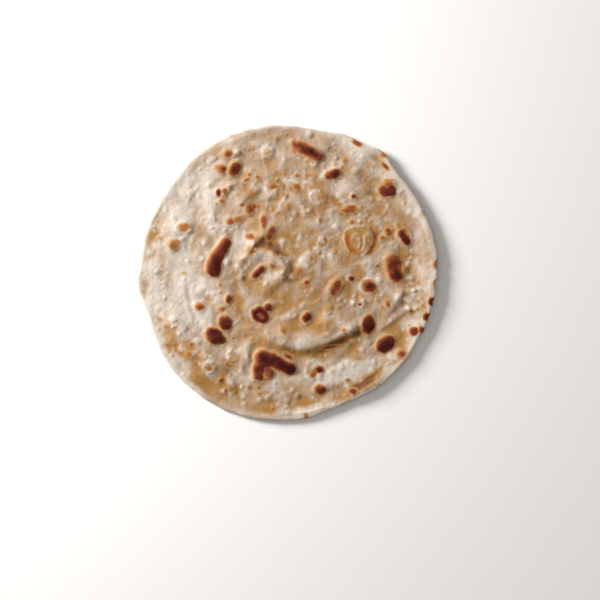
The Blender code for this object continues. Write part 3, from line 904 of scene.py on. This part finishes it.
rim_fade = smooth_step((1.0 - top_share) / 0.02)
relief = top_height * (RIM_RELIEF + (1.0 - RIM_RELIEF) * rim_fade)
top_z = top_lift + SHEET_THICKNESS + np.maximum(relief, DEEPEST_DIP)
under_z = under_lift + under_relief

last = slice(len(top_x) - top_rings[-1], None)
edge_turn = np.radians(top_direction[last])
edge_radius = np.hypot(top_x[last], top_y[last])
edge_foot = top_lift[last]
edge_middle, edge_half = (top_z[last] + edge_foot) / 2, (top_z[last] - edge_foot) / 2

points = [np.stack([top_x, top_y, top_z], 1)]
looks = [np.stack([toast_and_shade, gold_and_shade, flour_and_highlight], 1)]
rim_looks = np.stack([toast_and_shade[last], np.minimum(gold_and_shade[last], RIM_GOLD), flour_and_highlight[last] + RIM_FLOUR], 1)
for slope in EDGE_SLOPES:
    out = edge_radius + EDGE_WIDTH * math.cos(math.radians(slope))
    z = edge_middle + edge_half * math.sin(math.radians(slope))
    points.append(np.stack([out * np.cos(edge_turn), out * np.sin(edge_turn), z], 1))
    looks.append(rim_looks)
points.append(np.stack([under_x, under_y, under_z], 1))
looks.append(np.stack([under_toast, under_golden, under_floury], 1))
middle_height = top_z[: top_rings[0]].mean()
points.append(np.array([[0.0, 0.0, middle_height], [0.0, 0.0, 0.0]]))
looks.append(np.array([looks[0][0], looks[-1][0]]))
points, looks = np.vstack(points), np.vstack(looks)

faces = []
top_middle, under_middle = len(points) - 2, len(points) - 1
ring = add_face_rings(faces, top_rings, 0, top_middle)
start = len(top_x)
for _ in EDGE_SLOPES:
    band = list(range(start, start + len(ring)))
    add_ring_faces(faces, ring, band)
    ring, start = band, start + len(band)
underside_faces = []
under_last = add_face_rings(underside_faces, under_rings, start, under_middle)
faces += [face[::-1] for face in underside_faces]
joining = []
add_ring_faces(joining, under_last, ring)
faces += [face[::-1] for face in joining]

bread_mesh = bpy.data.meshes.new("chapati_bread")
bread_mesh.from_pydata((points * MM).tolist(), [], faces)
bread_mesh.validate()
bread_mesh.shade_smooth()
LOOKS = ("toast_and_shade", "gold_and_shade", "flour_and_highlight")
for column, name in enumerate(LOOKS):
    attribute = bread_mesh.attributes.new(name, "FLOAT", "POINT")
    attribute.data.foreach_set("value", np.ascontiguousarray(looks[:, column], np.float32))


def set_down(name, data):
    thing = bpy.data.objects.new(name, data)
    bpy.context.scene.collection.objects.link(thing)
    return thing


bread = set_down("chapati_bread", bread_mesh)

# The crust's finish: matt baked dough with bran in it, a little glassy where golden, dry where floury
CREAM = (0.475, 0.33, 0.21, 1.0)
CHALK = (0.675, 0.61, 0.535, 1.0)
GOLD = (0.395, 0.205, 0.062, 1.0)
# The darkest gold, reached in the most golden places and where painted shade is strongest: steep sides of
# folds and shaded troughs
DEEP_GOLD_AND_SHADE = (0.18, 0.070, 0.020, 1.0)
ROSY_TAN = (0.34, 0.20, 0.12, 1.0)
ASHEN = (0.46, 0.365, 0.29, 1.0)
BRAN = (0.33, 0.18, 0.08, 1.0)
# Share of toasting, and the colour that it gives, from the first gold to nearly black
TOASTING = [
    (0.00, (0.55, 0.40, 0.26, 1.0)),
    (0.20, (0.50, 0.32, 0.145, 1.0)),
    (0.36, (0.45, 0.160, 0.038, 1.0)),
    (0.50, (0.27, 0.076, 0.028, 1.0)),
    (0.66, (0.165, 0.031, 0.013, 1.0)),
    (0.82, (0.100, 0.015, 0.008, 1.0)),
    (1.00, (0.048, 0.006, 0.004, 1.0)),
]


def new_finish(name):
    """A material and its shader."""
    finish = bpy.data.materials.new(name)
    finish.use_nodes = True
    return finish, finish.node_tree.nodes["Principled BSDF"]


crust, crust_shader = new_finish("baked wholewheat crust")
crust_tree = crust.node_tree


def put(kind, inputs=None, **settings):
    """A new node, each of its inputs set to a value or joined to another node's output."""
    node = crust_tree.nodes.new("ShaderNode" + kind)
    for name, value in settings.items():
        setattr(node, name, value)
    for socket, value in (inputs or {}).items():
        if isinstance(value, bpy.types.NodeSocket):
            crust_tree.links.new(value, node.inputs[socket])
        else:
            node.inputs[socket].default_value = value
    return node


def reckon(operation, first, second, third=0.0):
    return put("Math", {0: first, 1: second, 2: third}, operation=operation).outputs[0]


def mixed_in(grains, weight, rest):
    """A value with this much of some grains added."""
    return reckon("MULTIPLY_ADD", grains, weight, rest)


def about_zero(grains):
    return reckon("SUBTRACT", grains, 0.5)


def ranged(value, low, high, new_low=0.0, new_high=1.0):
    """A value moved from one range to another, smoothly, and kept inside it."""
    inputs = {"Value": value, "From Min": low, "From Max": high, "To Min": new_low, "To Max": new_high}
    return put("MapRange", inputs, interpolation_type="SMOOTHSTEP").outputs[0]


def blended(share, first, second):
    return put("Mix", {0: share, 6: first, 7: second}, data_type="RGBA").outputs[2]


place = put("TexCoord").outputs["Object"]


def grain(scale, detail=3.0, roughness=0.55, distortion=0.0):
    """Uneven grain, with about this many grains to a metre."""
    shape = {"Scale": scale, "Detail": detail, "Roughness": roughness, "Distortion": distortion}
    return put("TexNoise", {"Vector": place, **shape}).outputs["Fac"]


toast_and_shade_here, gold_and_shade_here, flour_and_highlight_here = (
    put("Attribute", attribute_name=name).outputs["Fac"] for name in LOOKS
)
broad_grain = grain(70.0, 3.0)
patch_grain = grain(120.0, 4.0, 0.65, 0.6)
middle_grain = grain(260.0, 4.0, 0.6, 0.4)
fine_grain = grain(900.0, 3.0, 0.6)
flour_dust = grain(1900.0, 2.0, 0.7)

# Dough: cream with rosy and ashen patches, then gold and flour, each broken up by the grains. The gold
# includes painted shade, and the flour painted highlight.
uneven_gold = mixed_in(middle_grain, 1.4, -1.35)
uneven_gold = mixed_in(patch_grain, 0.8, uneven_gold)
uneven_gold = mixed_in(fine_grain, 0.5, uneven_gold)
gold_and_shade_share = ranged(reckon("ADD", gold_and_shade_here, uneven_gold), -0.1, 1.15)
tan_share = reckon("MULTIPLY", ranged(broad_grain, 0.42, 0.68), 0.55)
uneven_flour = mixed_in(middle_grain, -0.6, -0.10)
uneven_flour = mixed_in(fine_grain, 0.8, uneven_flour)
flour_and_highlight_share = ranged(reckon("ADD", flour_and_highlight_here, uneven_flour), -0.1, 1.15)
dough_colour = blended(tan_share, CREAM, ROSY_TAN)
dough_colour = blended(ranged(patch_grain, 0.45, 0.72), dough_colour, ASHEN)
dough_colour = blended(gold_and_shade_share, dough_colour, GOLD)
dough_colour = blended(ranged(gold_and_shade_here, 1.15, 2.5), dough_colour, DEEP_GOLD_AND_SHADE)
dough_colour = blended(reckon("MULTIPLY", flour_and_highlight_share, 0.85), dough_colour, CHALK)

# Flecks of bran: in one of six or so of the cells, each about half its cell across
BRAN_CELLS = 620.0  # to a metre
bran = put("TexVoronoi", {"Vector": place, "Scale": BRAN_CELLS, "Randomness": 1.0})
bran_picked = put("SeparateColor", {0: bran.outputs["Color"]}).outputs[0]
bran_fleck = ranged(bran.outputs["Distance"], 0.34, 0.20)
bran_spot = reckon("MULTIPLY", bran_fleck, ranged(bran_picked, 0.80, 0.88))
dough_colour = blended(reckon("MULTIPLY", bran_spot, 0.45), dough_colour, BRAN)

# Toasting over it, blotchy and speckled where it is strong
blotches = ranged(toast_and_shade_here, 0.05, 0.5, 0.0, 0.42)
uneven_toast = reckon("MULTIPLY", about_zero(middle_grain), blotches)
speckles = ranged(toast_and_shade_here, 0.1, 0.6, 0.0, 0.28)
speckled_toast = reckon("MULTIPLY", about_zero(fine_grain), speckles)
toast_level = reckon("ADD", toast_and_shade_here, reckon("ADD", uneven_toast, speckled_toast))
toast_ramp = put("ValToRGB", {"Fac": toast_level})
ramp = toast_ramp.color_ramp
for at, _ in TOASTING[1:-1]:
    ramp.elements.new(at)
for element, (at, colour) in zip(ramp.elements, TOASTING):
    element.position = at
    element.color = colour
toast_cover = ranged(toast_level, 0.06, 0.34)
crust_colour = blended(toast_cover, dough_colour, toast_ramp.outputs["Color"])
crust_tree.links.new(crust_colour, crust_shader.inputs["Base Color"])

# Flour is rougher than plain crust, gold and toast are smoother
PLAIN_ROUGHNESS = 0.60
dryness = mixed_in(flour_and_highlight_share, 0.18, PLAIN_ROUGHNESS)
dryness = mixed_in(gold_and_shade_share, -0.16, dryness)
dryness = mixed_in(toast_cover, -0.06, dryness)
dryness = mixed_in(about_zero(fine_grain), 0.25, dryness)
crust_tree.links.new(dryness, crust_shader.inputs["Roughness"])

crust_bumps = mixed_in(fine_grain, 0.6, reckon("MULTIPLY", flour_dust, 0.2))
crust_bumps = mixed_in(middle_grain, 0.6, crust_bumps)
crust_bump = put("Bump", {"Height": crust_bumps, "Strength": 0.6, "Distance": 0.0008})
crust_tree.links.new(crust_bump.outputs["Normal"], crust_shader.inputs["Normal"])

crust_shader.inputs["Subsurface Weight"].default_value = 0.12
crust_shader.inputs["Subsurface Radius"].default_value = (1.0, 0.6, 0.35)
crust_shader.inputs["Subsurface Scale"].default_value = 0.0012
crust_shader.inputs["Specular IOR Level"].default_value = 0.12

bread_mesh.materials.append(crust)
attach(bread, "root")
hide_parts("chapati")

# ----------------------------------------------------------
# The table: a plain board with pale matt paint, much larger than the bread that lies on it and level with
# the bread's underside.

TABLE_HALF = 4.0  # from its middle to its edge, metres
TABLE_COLOUR = (0.97, 0.97, 0.965, 1.0)

table_mesh = bpy.data.meshes.new("table_top")
table_sides = [(-1, -1), (1, -1), (1, 1), (-1, 1)]
table_corners = [(x * TABLE_HALF, y * TABLE_HALF, cad_box[0].z) for x, y in table_sides]
table_mesh.from_pydata(table_corners, [], [(0, 1, 2, 3)])
table_paint, table_shader = new_finish("pale matt table")
table_shader.inputs["Base Color"].default_value = TABLE_COLOUR
table_shader.inputs["Roughness"].default_value = 0.9
table_shader.inputs["Specular IOR Level"].default_value = 0.1
table_mesh.materials.append(table_paint)
set_down("table_top", table_mesh)

# ----------------------------------------------------------
# Light and camera, in metres: a soft lamp low at the upper left, as from a window, a broad weak light
# overhead, and the camera looking straight down a little to the lower right of the bread's middle.

bread_middle = (cad_box[0] + cad_box[1]) / 2


def add_lamp(name, azimuth, elevation, distance, size, watts, colour):
    """A square lamp facing the bread. Azimuth 0 is on the +X side and 90 on the +Y side."""
    lamp = bpy.data.lights.new(name, "AREA")
    lamp.size = size
    lamp.energy = watts
    lamp.color = colour
    stand = set_down(name, lamp)
    turn, rise = math.radians(azimuth), math.radians(elevation)
    away = Vector((math.cos(turn) * math.cos(rise), math.sin(turn) * math.cos(rise), math.sin(rise)))
    stand.location = bread_middle + distance * away
    stand.rotation_euler = away.to_track_quat("Z", "Y").to_euler()


WINDOW_LIGHT = (1.0, 0.975, 0.955)
add_lamp("window_lamp", azimuth=150, elevation=25, distance=0.95, size=0.34, watts=15.8, colour=WINDOW_LIGHT)

sky = bpy.data.lights.new("overhead_light", "SUN")
sky.energy = 0.38
sky.angle = math.radians(100)
sky.color = (1.0, 0.97, 0.93)
set_down("overhead_light", sky).location = (0.3, 0.3, 2.0)

room = bpy.data.worlds.new("pale room")
room.use_nodes = True
room_light = room.node_tree.nodes["Background"]
room_light.inputs["Color"].default_value = (0.97, 0.93, 0.88, 1.0)
room_light.inputs["Strength"].default_value = 0.25
bpy.context.scene.world = room
bpy.context.scene.view_settings.view_transform = "Standard"

VIEW_WIDTH = 0.396  # stretch of the table from side to side of the view
VIEW_MIDDLE = (0.00825, -0.0177)  # where the camera looks, from the middle of the bread
CAMERA_HEIGHT = 1.2

camera_data = bpy.data.cameras.new("camera")
camera_data.lens = camera_data.sensor_width * CAMERA_HEIGHT / VIEW_WIDTH
camera = set_down("camera", camera_data)
camera.location = (bread_middle.x + VIEW_MIDDLE[0], bread_middle.y + VIEW_MIDDLE[1], CAMERA_HEIGHT)
bpy.context.scene.camera = camera
